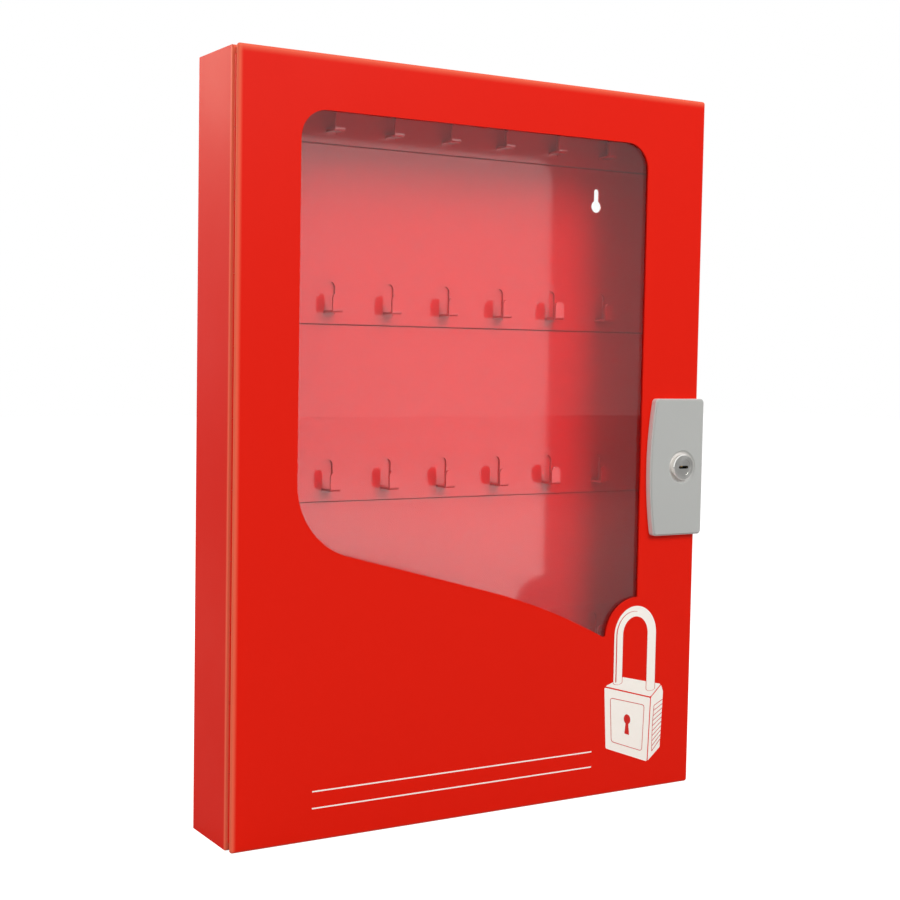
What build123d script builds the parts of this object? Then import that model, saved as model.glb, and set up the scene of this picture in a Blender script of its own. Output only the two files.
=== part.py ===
from build123d import *
import math
import os

os.makedirs("parts", exist_ok=True)

# Padlock cabinet: a shallow sheet-steel wall cabinet with a glazed door and rows of padlock hooks.
# Millimetres, +Z up, door facing -Y, origin at the middle of the back face that lies on the wall.

# Overall size, wall to door face
cabinet_width = 366.0
cabinet_height = 500.0
cabinet_depth = 62.0

# Sheet steel
sheet = 1.2
bend_radius = 2.0
door_depth = 6.8
door_gap = 0.8
body_depth = cabinet_depth - door_depth - door_gap
hinge_flange = 16.0
front_flange = 8.5
left_side = -cabinet_width / 2
right_side = cabinet_width / 2
door_inside = -cabinet_depth + sheet
body_front = -body_depth

# Piano hinge
barrel_radius = 2.0
barrel_inset = 0.3
pin_radius = 1.0
pin_clearance = 0.05
leaf_thickness = 1.0
leaf_width = 12.5
hinge_end_margin = 6.0
knuckle_count = 11
knuckle_gap = 0.4
knuckle_clearance = 0.35
hinge_length = cabinet_height - 2 * hinge_end_margin
knuckle_pitch = hinge_length / knuckle_count
hinge_x = left_side + barrel_inset + barrel_radius
hinge_y = -(body_depth + cabinet_depth - bend_radius) / 2
rivet_count = 4
rivet_radius = 1.6
rivet_head_radius = 3.0
rivet_head_height = 1.2
rivet_head_chamfer = 0.7
rivet_tail_length = 1.6
rivet_clearance = 0.05

# Window opening in the door and its pane
window_hinge_margin = 43.0
window_lock_margin = 51.0
window_top_margin = 35.0
window_corner_radius = 18.0
sill_corner_rise = 231.0
sill_corner_radius = 50.0
sill_slope = 15.2
sill_sweep_width = 104.0
sill_sweep_radius = 500.0
bump_rise = 113.5
bump_radius = 28.0
window_tip_radius = 1.5
pane_overlap = 10.0
pane_thickness = 2.5
pane_corner_radius = 4.0
stud_radius = 1.5
stud_length = 5.2
stud_offset = 5.5
stud_row_spacing = 240.0
nut_across_flats = 5.5
nut_height = 2.4
fastener_clearance = 0.05
clip_thickness = 0.8
clip_width = 10.0
clip_foot = 9.5
clip_reach = 5.0

# Lock plate, which is also the pull
plate_width = 48.0
plate_height = 99.0
plate_thickness = 5.5
plate_overhang = 2.0
plate_bow = 4.2
plate_corner_radius = 3.0
plate_edge_chamfer = 1.2
plate_wall = 2.0
plate_center_drop = 14.8
plate_boss_radius = 4.0
plate_screw_inset = 12.0
plate_screw_spacing = 70.0
plate_screw_radius = 2.0
plate_screw_length = 3.4
plate_screw_end_gap = 0.2
screw_head_radius = 3.5
screw_head_height = 2.2
screw_head_chamfer = 0.8
crater_radius = 12.2
crater_floor_radius = 9.6
crater_depth = 2.5

# Cam lock
lock_edge_distance = 17.4
lock_head_radius = 9.2
lock_head_height = 4.3
lock_head_chamfer = 0.6
lock_body_radius = 8.0
lock_body_flats = 14.0
lock_hole_clearance = 0.15
lock_tail = 0.3
plug_radius = 6.0
plug_clearance = 0.05
plug_recess = 0.2
key_slot_length = 8.5
key_slot_width = 2.0
key_slot_depth = 14.0
plug_square = 7.0
plug_square_clearance = 0.05
cam_thickness = 2.0
cam_hub_radius = 7.8
cam_width = 10.0
cam_reach = 13.5
cam_tip_round = 2.5
cam_crank_inside = 8.5
cam_flange_gap = 1.5
lock_reach_inside = 12.8
cam_hub_y = door_inside + lock_reach_inside
lock_nut_across_flats = 20.0
lock_nut_height = 4.0
washer_radius = 5.0
washer_height = 0.7
cam_screw_radius = 2.0
cam_screw_length = 8.0
plate_center_z = -plate_center_drop
lock_x = right_side - lock_edge_distance
lock_z = plate_center_z

# Hook rails
rail_end_gap = 3.8
rail_length = cabinet_width - 2 * (sheet + rail_end_gap)
rail_height = 34.0
rail_sheet = 1.5
rail_pitch = 120.0
rail_count = 4
top_rail_drop = 13.0
top_rail_z = cabinet_height / 2 - top_rail_drop - rail_height
hook_count = 7
hook_pitch = 45.0
hook_width = 7.5
hook_reach = 11.5
hook_rise = 13.0
hook_base_z = 7.4
hook_outer_bend = 2.2
hook_tip_flat = 0.1
hook_side_gap = 0.3
lance_height = 22.0
lance_drop = 1.0
hook_root_overlap = 0.5
rail_front = -sheet - rail_sheet

# Keyhole slots for the wall screws
keyhole_side_distance = 52.0
keyhole_drop = 74.5
keyhole_head_radius = 4.5
keyhole_slot_width = 4.5
keyhole_slot_rise = 13.0
keyhole_spacing = cabinet_width - 2 * keyhole_side_distance
keyhole_z = cabinet_height / 2 - keyhole_drop

# Rubber bumpers between the flange and the door
bumper_radius = 3.2
bumper_taper = 5.0
bumper_gap = 0.3
bumper_end_distance = 25.0


def write(part, name):
    part.label = name
    export_step(part, f"parts/{name}.step")


def folded_wall(length, flange):
    """A wall that faces +X with a flange turned in at its front, along Z, both ends mitred."""
    with BuildPart() as wall:
        with BuildSketch(Plane.XY) as profile:
            with BuildLine():
                Polyline(
                    (0, 0),
                    (0, -body_depth),
                    (-flange, -body_depth),
                    (-flange, -body_depth + sheet),
                    (-sheet, -body_depth + sheet),
                    (-sheet, 0),
                    close=True,
                )
            make_face()
            fillet(profile.vertices().sort_by_distance((0, -body_depth))[0], bend_radius)
        extrude(amount=length / 2, both=True)
        split(bisect_by=Plane(origin=(0, 0, length / 2), z_dir=(-1, 0, 1)), keep=Keep.BOTTOM)
        split(bisect_by=Plane(origin=(0, 0, -length / 2), z_dir=(-1, 0, -1)), keep=Keep.BOTTOM)
    return wall.part


# Body: a back panel and four folded walls, welded at their mitred corners
inside_right = right_side - front_flange
with BuildPart() as back_panel:
    with BuildSketch(Plane.XZ):
        Rectangle(cabinet_width - 2 * sheet, cabinet_height - 2 * sheet)
        # Keyhole slots: a round head with a narrow slot that rises from it
        with Locations((-keyhole_spacing / 2, keyhole_z), (keyhole_spacing / 2, keyhole_z)):
            Circle(keyhole_head_radius, mode=Mode.SUBTRACT)
        with Locations(
            (-keyhole_spacing / 2, keyhole_z + keyhole_slot_rise / 2),
            (keyhole_spacing / 2, keyhole_z + keyhole_slot_rise / 2),
        ):
            SlotOverall(keyhole_slot_rise, keyhole_slot_width, rotation=90, mode=Mode.SUBTRACT)
    extrude(amount=sheet)
write(back_panel.part, "back_panel")

side_wall = folded_wall(cabinet_height, front_flange)
end_wall = folded_wall(cabinet_width, front_flange)
write(side_wall.moved(Location((right_side, 0, 0))), "wall_right")
write(end_wall.moved(Location((0, 0, cabinet_height / 2), (0, -90, 0))), "wall_top")
write(end_wall.moved(Location((0, 0, -cabinet_height / 2), (0, 90, 0))), "wall_bottom")

rivet_x = (hinge_x + barrel_radius + left_side + leaf_width + bend_radius) / 2
rivet_pitch = hinge_length / rivet_count
with BuildPart() as wall_left:
    add(folded_wall(cabinet_height, hinge_flange).moved(Location((left_side, 0, 0), (0, 180, 0))))
    with BuildSketch(Plane.XZ.offset(body_depth)):
        with Locations((rivet_x, 0)):
            with GridLocations(1, rivet_pitch, 1, rivet_count):
                Circle(rivet_radius + rivet_clearance)
    extrude(amount=-2 * sheet, mode=Mode.SUBTRACT)
write(wall_left.part, "wall_left")

# Hook rail: a strip whose round-topped tongues are lanced out and bent forward and up
hook_top = hook_base_z + hook_rise
tongue_rear = rail_front - hook_reach
tongue_front = tongue_rear - rail_sheet
lance_bottom = hook_base_z - lance_drop
lance_width = hook_width + 2 * hook_side_gap
lance_square = lance_height - lance_width / 2
with BuildPart() as hook:
    with BuildSketch(Plane.YZ) as hook_profile:
        with BuildLine():
            Polyline(
                (-sheet, lance_bottom - hook_root_overlap),
                (-sheet, hook_base_z + rail_sheet),
                (tongue_rear, hook_base_z + rail_sheet),
                (tongue_rear, hook_top),
                (tongue_front, hook_top),
                (tongue_front, hook_base_z),
                (rail_front, hook_base_z),
                (rail_front, lance_bottom - hook_root_overlap),
                close=True,
            )
        make_face()
        root_corner = hook_profile.vertices().sort_by_distance((-sheet, hook_base_z + rail_sheet))[0]
        front_corner = hook_profile.vertices().sort_by_distance((tongue_front, hook_base_z))[0]
        fillet((root_corner, front_corner), hook_outer_bend)
    extrude(amount=hook_width / 2, both=True)
    fillet(hook.edges().filter_by(Axis.Y).group_by(Axis.Z)[-1], (hook_width - hook_tip_flat) / 2)
with BuildPart() as hook_rail:
    with BuildSketch(Plane.XZ.offset(sheet)):
        with Locations((0, rail_height / 2)):
            Rectangle(rail_length, rail_height)
        with Locations((0, lance_bottom + lance_square / 2)):
            with GridLocations(hook_pitch, 1, hook_count, 1):
                Rectangle(lance_width, lance_square, mode=Mode.SUBTRACT)
        with Locations((0, lance_bottom + lance_square)):
            with GridLocations(hook_pitch, 1, hook_count, 1):
                Circle(lance_width / 2, mode=Mode.SUBTRACT)
    extrude(amount=rail_sheet)
    with GridLocations(hook_pitch, 1, hook_count, 1):
        add(hook.part)
for index in range(rail_count):
    placed_rail = hook_rail.part.moved(Location((0, 0, top_rail_z - index * rail_pitch)))
    write(placed_rail, f"hook_rail_{index + 1}")

# Piano hinge: two leaves with interleaved knuckles on one pin
bore_radius = pin_radius + pin_clearance
leaf_start = hinge_x + barrel_radius + knuckle_clearance
leaf_end = left_side + bend_radius + leaf_width


def knuckle_heights(first):
    """Middle heights of every second knuckle, from the given one up."""
    return [
        (index + 0.5) * knuckle_pitch - hinge_length / 2
        for index in range(first, knuckle_count, 2)
    ]


def leaf_root(flat_outer, flat_inner, side):
    """Outline that joins a knuckle to its flat leaf; side is 1 towards the wall and -1 to the door."""
    return [
        (hinge_x, hinge_y + side * (barrel_radius - leaf_thickness)),
        (hinge_x, hinge_y + side * barrel_radius),
        (hinge_x + barrel_radius / 2, flat_outer),
        (leaf_start + leaf_thickness, flat_outer),
        (leaf_start + leaf_thickness, flat_inner),
        (hinge_x + barrel_radius, flat_inner),
    ]


with BuildPart() as hinge_leaf_body:
    with BuildSketch(Plane.XZ.offset(body_depth)):
        with Locations(((leaf_start + leaf_end) / 2, 0)):
            Rectangle(leaf_end - leaf_start, hinge_length)
    extrude(amount=leaf_thickness)
    for height in knuckle_heights(0):
        with BuildSketch(Plane.XY.offset(height)):
            with BuildLine():
                Polyline(*leaf_root(body_front, body_front - leaf_thickness, 1), close=True)
            make_face()
            with Locations((hinge_x, hinge_y)):
                Circle(barrel_radius)
                Circle(bore_radius, mode=Mode.SUBTRACT)
        extrude(amount=(knuckle_pitch - knuckle_gap) / 2, both=True)
    with BuildSketch(Plane.XZ.offset(body_depth)):
        with Locations((rivet_x, 0)):
            with GridLocations(1, rivet_pitch, 1, rivet_count):
                Circle(rivet_radius + rivet_clearance)
    extrude(amount=leaf_thickness, mode=Mode.SUBTRACT)
write(hinge_leaf_body.part, "hinge_leaf_body")

with BuildPart() as hinge_leaf_door:
    with BuildSketch(Plane.XZ.offset(-door_inside)):
        with Locations(((leaf_start + leaf_end) / 2, 0)):
            Rectangle(leaf_end - leaf_start, hinge_length)
    extrude(amount=-leaf_thickness)
    for height in knuckle_heights(1):
        with BuildSketch(Plane.XY.offset(height)):
            with BuildLine():
                Polyline(*leaf_root(door_inside, door_inside + leaf_thickness, -1), close=True)
            make_face()
            with Locations((hinge_x, hinge_y)):
                Circle(barrel_radius)
                Circle(bore_radius, mode=Mode.SUBTRACT)
        extrude(amount=(knuckle_pitch - knuckle_gap) / 2, both=True)
write(hinge_leaf_door.part, "hinge_leaf_door")

with BuildPart() as hinge_pin:
    with BuildSketch(Plane.XY):
        with Locations((hinge_x, hinge_y)):
            Circle(pin_radius)
    extrude(amount=hinge_length / 2, both=True)
write(hinge_pin.part, "hinge_pin")

rivet_head_y = body_front - leaf_thickness
with BuildPart() as hinge_rivets:
    with BuildSketch(Plane.XZ.offset(-rivet_head_y)):
        with Locations((rivet_x, 0)):
            with GridLocations(1, rivet_pitch, 1, rivet_count):
                Circle(rivet_head_radius)
    extrude(amount=rivet_head_height)
    chamfer(hinge_rivets.faces().sort_by(Axis.Y)[:rivet_count].edges(), rivet_head_chamfer)
    with BuildSketch(Plane.XZ.offset(-rivet_head_y)):
        with Locations((rivet_x, 0)):
            with GridLocations(1, rivet_pitch, 1, rivet_count):
                Circle(rivet_radius)
    extrude(amount=-(leaf_thickness + sheet + rivet_tail_length))
write(hinge_rivets.part, "hinge_rivets")

with BuildPart() as door_bumpers:
    bumper_x = inside_right + bumper_radius
    bumper_height = body_front - door_inside - bumper_gap
    with BuildSketch(Plane.XZ.offset(body_depth)):
        with Locations((bumper_x, 0)):
            with GridLocations(1, cabinet_height - 2 * bumper_end_distance, 1, 2):
                Circle(bumper_radius)
    extrude(amount=bumper_height, taper=bumper_taper)
write(door_bumpers.part, "door_bumpers")

# Door: a folded pan, rounded at its edges, with no return where the hinge barrel lies
window_left = left_side + window_hinge_margin
window_right = right_side - window_lock_margin
window_top = cabinet_height / 2 - window_top_margin
sill_corner_z = -cabinet_height / 2 + sill_corner_rise
bump_center_z = -cabinet_height / 2 + bump_rise
tip_x = window_right - bump_radius
slope = math.radians(sill_slope)
corner_turn = math.pi / 2 - slope
corner_end = (
    window_left + sill_corner_radius * (1 - math.cos(corner_turn)),
    sill_corner_z - sill_corner_radius * math.sin(corner_turn),
)
sill_run = tip_x - sill_sweep_width - corner_end[0]
run_end = (corner_end[0] + sill_run, corner_end[1] - sill_run * math.tan(slope))
plate_right = right_side + plate_overhang
plate_left = plate_right - plate_width
screw_x = plate_left + plate_screw_inset
with BuildPart() as door_panel:
    with Locations((0, -cabinet_depth + door_depth, 0)):
        Box(cabinet_width, door_depth, cabinet_height, align=(Align.CENTER, Align.MAX, Align.CENTER))
    fillet(door_panel.edges().filter_by(Axis.Y), bend_radius)
    fillet(door_panel.faces().sort_by(Axis.Y)[0].edges(), bend_radius)
    with Locations((0, door_inside, 0)):
        Box(
            cabinet_width - 2 * sheet,
            door_depth,
            cabinet_height - 2 * sheet,
            align=(Align.CENTER, Align.MIN, Align.CENTER),
            mode=Mode.SUBTRACT,
        )
    with Locations((left_side, -cabinet_depth + bend_radius, 0)):
        Box(
            2 * (hinge_x + pin_radius - left_side),
            door_depth,
            cabinet_height + sheet,
            align=(Align.CENTER, Align.MIN, Align.CENTER),
            mode=Mode.SUBTRACT,
        )
    with BuildSketch(Plane.XZ.offset(cabinet_depth)) as window:
        with BuildLine():
            Line((window_left, sill_corner_z), (window_left, window_top))
            Line((window_left, window_top), (window_right, window_top))
            Line((window_right, window_top), (window_right, bump_center_z + bump_radius))
            RadiusArc((window_right, bump_center_z + bump_radius), (tip_x, bump_center_z), -bump_radius)
            RadiusArc((tip_x, bump_center_z), run_end, -sill_sweep_radius)
            Line(run_end, corner_end)
            JernArc(corner_end, (-math.cos(slope), math.sin(slope)), sill_corner_radius, -math.degrees(corner_turn))
        make_face()
        fillet(window.vertices().group_by(Axis.Y)[-1], window_corner_radius)
        fillet(window.vertices().sort_by(Axis.Y)[0], window_tip_radius)
    extrude(amount=-2 * sheet, mode=Mode.SUBTRACT)
    with BuildSketch(Plane.XZ.offset(cabinet_depth)):
        with Locations((lock_x, lock_z)):
            Circle(lock_body_radius + lock_hole_clearance)
            Rectangle(
                2 * lock_head_radius, lock_body_flats + 2 * lock_hole_clearance, mode=Mode.INTERSECT
            )
        with Locations((screw_x, plate_center_z)):
            with GridLocations(1, plate_screw_spacing, 1, 2):
                Circle(plate_screw_radius + lock_hole_clearance)
    extrude(amount=-2 * sheet, mode=Mode.SUBTRACT)
write(door_panel.part, "door_panel")

# Window pane, laid on the inside of the door and held by clips on welded studs
pane_left = window_left - pane_overlap
pane_right = window_right + pane_overlap
pane_top = window_top + pane_overlap
pane_bottom = bump_center_z - pane_overlap
pane_x = (pane_left + pane_right) / 2
pane_z = (pane_top + pane_bottom) / 2
with BuildPart() as window_pane:
    with BuildSketch(Plane.XZ.offset(-door_inside)):
        with Locations((pane_x, pane_z)):
            RectangleRounded(pane_right - pane_left, pane_top - pane_bottom, pane_corner_radius)
    extrude(amount=-pane_thickness)
write(window_pane.part, "window_pane")

# Each stud has its place and the turn of its clip, whose tongue points over the pane
stud_rows = (pane_z - stud_row_spacing / 2, pane_z + stud_row_spacing / 2)
stud_places = [Location((pane_left - stud_offset, 0, z), (0, 0, 0)) for z in stud_rows]
stud_places += [Location((pane_right + stud_offset, 0, z), (0, 180, 0)) for z in stud_rows]
stud_places += [Location((pane_x, 0, pane_top + stud_offset), (0, 90, 0))]
stud_places += [Location((pane_x, 0, pane_bottom - stud_offset), (0, -90, 0))]
clip_top = door_inside + pane_thickness
with BuildPart() as pane_studs:
    with Locations(*stud_places):
        with Locations(Location((0, door_inside, 0), (-90, 0, 0))):
            Cylinder(stud_radius, stud_length, align=(Align.CENTER, Align.CENTER, Align.MIN))
write(pane_studs.part, "pane_studs")

with BuildPart() as one_clip:
    with BuildSketch(Plane.XY):
        with BuildLine():
            lower_side = Polyline(
                (-clip_foot + stud_offset, door_inside),
                (stud_offset - clip_thickness, door_inside),
                (stud_offset - clip_thickness, clip_top + clip_thickness),
            )
            upper_side = Polyline(
                (-clip_foot + stud_offset, door_inside + clip_thickness),
                (stud_offset - 2 * clip_thickness, door_inside + clip_thickness),
                (stud_offset - 2 * clip_thickness, clip_top + clip_thickness),
            )
            Line(lower_side @ 0, upper_side @ 0)
            Line(lower_side @ 1, upper_side @ 1)
        make_face()
        with Locations((stud_offset + (clip_reach - 2 * clip_thickness) / 2, clip_top + clip_thickness / 2)):
            Rectangle(clip_reach + 2 * clip_thickness, clip_thickness)
    extrude(amount=clip_width / 2, both=True)
    with BuildSketch(Plane.XZ.offset(-door_inside)):
        Circle(stud_radius + fastener_clearance)
    extrude(amount=-clip_thickness, mode=Mode.SUBTRACT)
with BuildPart() as pane_clips:
    with Locations(*stud_places):
        add(one_clip.part)
write(pane_clips.part, "pane_clips")

with BuildPart() as one_nut:
    with BuildSketch(Plane.XZ.offset(-door_inside - clip_thickness)):
        RegularPolygon(nut_across_flats / 2, 6, major_radius=False)
        Circle(stud_radius + fastener_clearance, mode=Mode.SUBTRACT)
    extrude(amount=-nut_height)
with BuildPart() as pane_nuts:
    with Locations(*stud_places):
        add(one_nut.part)
write(pane_nuts.part, "pane_nuts")

# Lock plate: a hollow moulded pull with a bowed left edge and a dished recess round the lock
plate_low = plate_center_z - plate_height / 2
plate_high = plate_center_z + plate_height / 2
plate_front = -cabinet_depth - plate_thickness
with BuildPart() as lock_plate:
    with BuildSketch(Plane.XZ.offset(cabinet_depth)) as plate_outline:
        with BuildLine():
            ThreePointArc(
                (plate_left + plate_bow, plate_low),
                (plate_left, plate_center_z),
                (plate_left + plate_bow, plate_high),
            )
            Polyline(
                (plate_left + plate_bow, plate_high),
                (plate_right, plate_high),
                (plate_right, plate_low),
                (plate_left + plate_bow, plate_low),
            )
        make_face()
        fillet(plate_outline.vertices(), plate_corner_radius)
    extrude(amount=plate_thickness)
    chamfer(lock_plate.faces().sort_by(Axis.Y)[0].edges(), plate_edge_chamfer)
    with BuildSketch(Plane.XZ.offset(cabinet_depth)) as plate_pocket:
        add(plate_outline.sketch)
        offset(amount=-plate_wall)
        with Locations((lock_x, lock_z)):
            Circle(crater_radius + plate_wall, mode=Mode.SUBTRACT)
        with Locations((screw_x, plate_center_z)):
            with GridLocations(1, plate_screw_spacing, 1, 2):
                Circle(plate_boss_radius, mode=Mode.SUBTRACT)
    extrude(amount=plate_thickness - plate_wall, mode=Mode.SUBTRACT)
    with BuildSketch(Plane.XZ.offset(-plate_front)):
        with Locations((lock_x, lock_z)):
            Circle(crater_radius)
    with BuildSketch(Plane.XZ.offset(-plate_front - crater_depth)):
        with Locations((lock_x, lock_z)):
            Circle(crater_floor_radius)
    loft(mode=Mode.SUBTRACT)
    with BuildSketch(Plane.XZ.offset(cabinet_depth)):
        with Locations((lock_x, lock_z)):
            Circle(lock_body_radius + lock_hole_clearance)
            Rectangle(
                2 * lock_head_radius, lock_body_flats + 2 * lock_hole_clearance, mode=Mode.INTERSECT
            )
    extrude(amount=plate_thickness, mode=Mode.SUBTRACT)
    with BuildSketch(Plane.XZ.offset(cabinet_depth)):
        with Locations((screw_x, plate_center_z)):
            with GridLocations(1, plate_screw_spacing, 1, 2):
                Circle(plate_screw_radius + fastener_clearance)
    extrude(amount=plate_screw_length, mode=Mode.SUBTRACT)
write(lock_plate.part, "lock_plate")

with BuildPart() as plate_screws:
    with BuildSketch(Plane.XZ.offset(-door_inside)):
        with Locations((screw_x, plate_center_z)):
            with GridLocations(1, plate_screw_spacing, 1, 2):
                Circle(screw_head_radius)
    extrude(amount=-screw_head_height)
    chamfer(plate_screws.faces().sort_by(Axis.Y)[-2:].edges(), screw_head_chamfer)
    with BuildSketch(Plane.XZ.offset(-door_inside)):
        with Locations((screw_x, plate_center_z)):
            with GridLocations(1, plate_screw_spacing, 1, 2):
                Circle(plate_screw_radius)
    extrude(amount=sheet + plate_screw_length - plate_screw_end_gap)
write(plate_screws.part, "plate_screws")

# Cam lock: housing with a round head on the dished floor, nut, plug, cranked cam, washer and screw
head_seat = plate_front + crater_depth
head_front = head_seat - lock_head_height
housing_end = cam_hub_y - lock_tail
with BuildPart() as lock_housing:
    with BuildSketch(Plane.XZ.offset(-head_seat)):
        with Locations((lock_x, lock_z)):
            Circle(lock_head_radius)
    extrude(amount=lock_head_height)
    chamfer(lock_housing.faces().sort_by(Axis.Y)[0].edges(), lock_head_chamfer)
    with BuildSketch(Plane.XZ.offset(-head_seat)):
        with Locations((lock_x, lock_z)):
            Circle(lock_body_radius)
            Rectangle(2 * lock_head_radius, lock_body_flats, mode=Mode.INTERSECT)
    extrude(amount=head_seat - housing_end)
    with BuildSketch(Plane.XZ.offset(-head_front)):
        with Locations((lock_x, lock_z)):
            Circle(plug_radius + plug_clearance)
    extrude(amount=head_front - housing_end, mode=Mode.SUBTRACT)
write(lock_housing.part, "lock_housing")

with BuildPart() as lock_nut:
    with BuildSketch(Plane.XZ.offset(-door_inside)):
        with Locations((lock_x, lock_z)):
            RegularPolygon(lock_nut_across_flats / 2, 6, major_radius=False)
            Circle(lock_body_radius + fastener_clearance, mode=Mode.SUBTRACT)
    extrude(amount=-lock_nut_height)
write(lock_nut.part, "lock_nut")

plug_front = head_front + plug_recess
with BuildPart() as lock_plug:
    with BuildSketch(Plane.XZ.offset(-plug_front)):
        with Locations((lock_x, lock_z)):
            Circle(plug_radius)
    extrude(amount=plug_front - cam_hub_y)
    with BuildSketch(Plane.XZ.offset(-cam_hub_y)):
        with Locations((lock_x, lock_z)):
            Rectangle(plug_square, plug_square)
    extrude(amount=-cam_thickness + plug_square_clearance)
    with BuildSketch(Plane.XZ.offset(-plug_front)):
        with Locations((lock_x, lock_z)):
            SlotOverall(key_slot_length, key_slot_width)
    extrude(amount=-key_slot_depth, mode=Mode.SUBTRACT)
    with BuildSketch(Plane.XZ.offset(-cam_hub_y - cam_thickness)):
        with Locations((lock_x, lock_z)):
            Circle(cam_screw_radius + fastener_clearance)
    extrude(amount=cam_screw_length, mode=Mode.SUBTRACT)
write(lock_plug.part, "lock_plug")

cam_back = cam_hub_y + cam_thickness
cam_tip_front = body_front + sheet + cam_flange_gap
with BuildPart() as lock_cam:
    with BuildSketch(Plane.XZ.offset(-cam_hub_y)):
        with Locations((lock_x, lock_z)):
            Circle(cam_hub_radius)
    extrude(amount=-cam_thickness)
    with BuildSketch(Plane.YZ.offset(lock_x)):
        with BuildLine():
            Polyline(
                (cam_hub_y, lock_z),
                (cam_hub_y, lock_z + cam_crank_inside),
                (cam_tip_front, lock_z + cam_crank_inside),
                (cam_tip_front, lock_z + cam_reach),
                (cam_tip_front + cam_thickness, lock_z + cam_reach),
                (cam_tip_front + cam_thickness, lock_z + cam_crank_inside + cam_thickness),
                (cam_back, lock_z + cam_crank_inside + cam_thickness),
                (cam_back, lock_z),
                close=True,
            )
        make_face()
    extrude(amount=cam_width / 2, both=True)
    fillet(lock_cam.faces().sort_by(Axis.Z)[-1].edges().filter_by(Axis.Y), cam_tip_round)
    with BuildSketch(Plane.XZ.offset(-cam_hub_y)):
        with Locations((lock_x, lock_z)):
            Rectangle(plug_square + 2 * plug_square_clearance, plug_square + 2 * plug_square_clearance)
    extrude(amount=-cam_thickness, mode=Mode.SUBTRACT)
write(lock_cam.part, "lock_cam")

with BuildPart() as cam_washer:
    with BuildSketch(Plane.XZ.offset(-cam_back)):
        with Locations((lock_x, lock_z)):
            Circle(washer_radius)
            Circle(cam_screw_radius + fastener_clearance, mode=Mode.SUBTRACT)
    extrude(amount=-washer_height)
write(cam_washer.part, "cam_washer")

cam_screw_seat = cam_back + washer_height
with BuildPart() as cam_screw:
    with BuildSketch(Plane.XZ.offset(-cam_screw_seat)):
        with Locations((lock_x, lock_z)):
            Circle(screw_head_radius)
    extrude(amount=-screw_head_height)
    chamfer(cam_screw.faces().sort_by(Axis.Y)[-1].edges(), screw_head_chamfer)
    with BuildSketch(Plane.XZ.offset(-cam_screw_seat)):
        with Locations((lock_x, lock_z)):
            Circle(cam_screw_radius)
    extrude(amount=cam_screw_length)
write(cam_screw.part, "cam_screw")
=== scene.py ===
"""Looks of a padlock cabinet: red powder coat, clear pane, grey lock plate and polished lock."""

import logging
import math
from dataclasses import dataclass, field, replace
from enum import Enum
from typing import Iterable, Sequence

import bmesh
import bpy
import numpy as np
from mathutils import Matrix, Vector


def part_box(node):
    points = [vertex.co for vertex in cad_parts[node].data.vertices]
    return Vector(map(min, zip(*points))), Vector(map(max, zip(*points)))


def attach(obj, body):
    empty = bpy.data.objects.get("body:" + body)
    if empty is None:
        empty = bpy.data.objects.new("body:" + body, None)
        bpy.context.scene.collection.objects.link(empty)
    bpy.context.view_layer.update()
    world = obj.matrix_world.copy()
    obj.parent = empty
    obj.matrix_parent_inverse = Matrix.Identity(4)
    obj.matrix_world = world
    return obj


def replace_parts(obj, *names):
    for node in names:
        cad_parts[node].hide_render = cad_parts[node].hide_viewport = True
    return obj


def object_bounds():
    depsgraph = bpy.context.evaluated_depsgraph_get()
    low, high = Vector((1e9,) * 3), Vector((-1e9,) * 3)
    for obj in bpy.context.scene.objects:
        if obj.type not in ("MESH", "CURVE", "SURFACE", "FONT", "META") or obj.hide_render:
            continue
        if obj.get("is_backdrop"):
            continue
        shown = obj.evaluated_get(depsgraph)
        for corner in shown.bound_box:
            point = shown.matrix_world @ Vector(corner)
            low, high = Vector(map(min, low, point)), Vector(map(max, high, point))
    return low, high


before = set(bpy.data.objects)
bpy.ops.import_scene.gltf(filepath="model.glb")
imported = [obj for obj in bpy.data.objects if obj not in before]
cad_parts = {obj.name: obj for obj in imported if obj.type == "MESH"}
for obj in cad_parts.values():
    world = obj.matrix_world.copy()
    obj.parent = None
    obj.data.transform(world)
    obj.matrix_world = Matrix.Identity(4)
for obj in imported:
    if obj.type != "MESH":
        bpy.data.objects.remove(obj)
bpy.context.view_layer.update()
MM = 0.001
# Points that lie nearer than this, in metres, are one point.
SAME_PLACE = 0.000001
# Noise values between which a coat goes from smooth to dull, and the noise's detail.
PATCH_EDGES = (0.35, 0.65)
PATCH_DETAIL = 4.0
GRAIN_DETAIL = 2.0
log = logging.getLogger("padlock_cabinet")

Colour = tuple[float, float, float]


def linear(red: int, green: int, blue: int) -> Colour:
    """Turns an 8-bit screen colour into linear light.

    Args:
        red: Red, 0 to 255.
        green: Green, 0 to 255.
        blue: Blue, 0 to 255.

    Returns:
        The three linear values, each 0 to 1.
    """
    screen = np.array((red, green, blue)) / 255.0
    light = np.where(screen <= 0.04045, screen / 12.92, ((screen + 0.055) / 1.055) ** 2.4)
    return tuple(float(value) for value in light)


class Grain(Enum):
    """How the fine relief of a finish runs."""

    NONE = "none"
    ORANGE_PEEL = "orange peel"
    ROLLED = "rolled"
    TURNED = "turned"


@dataclass(frozen=True)
class PaintedHighlight:
    """A band along one side in which the coat is painted paler: a painted highlight where a rounded
    edge catches the light.

    Attributes:
        axis: Name of the axis across the band.
        start: Coordinate where the band starts, in metres.
        end: Coordinate where it is strongest.
        strength: Share of the paler colour at the end.
    """

    axis: str
    start: float
    end: float
    strength: float = 1.0


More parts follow.
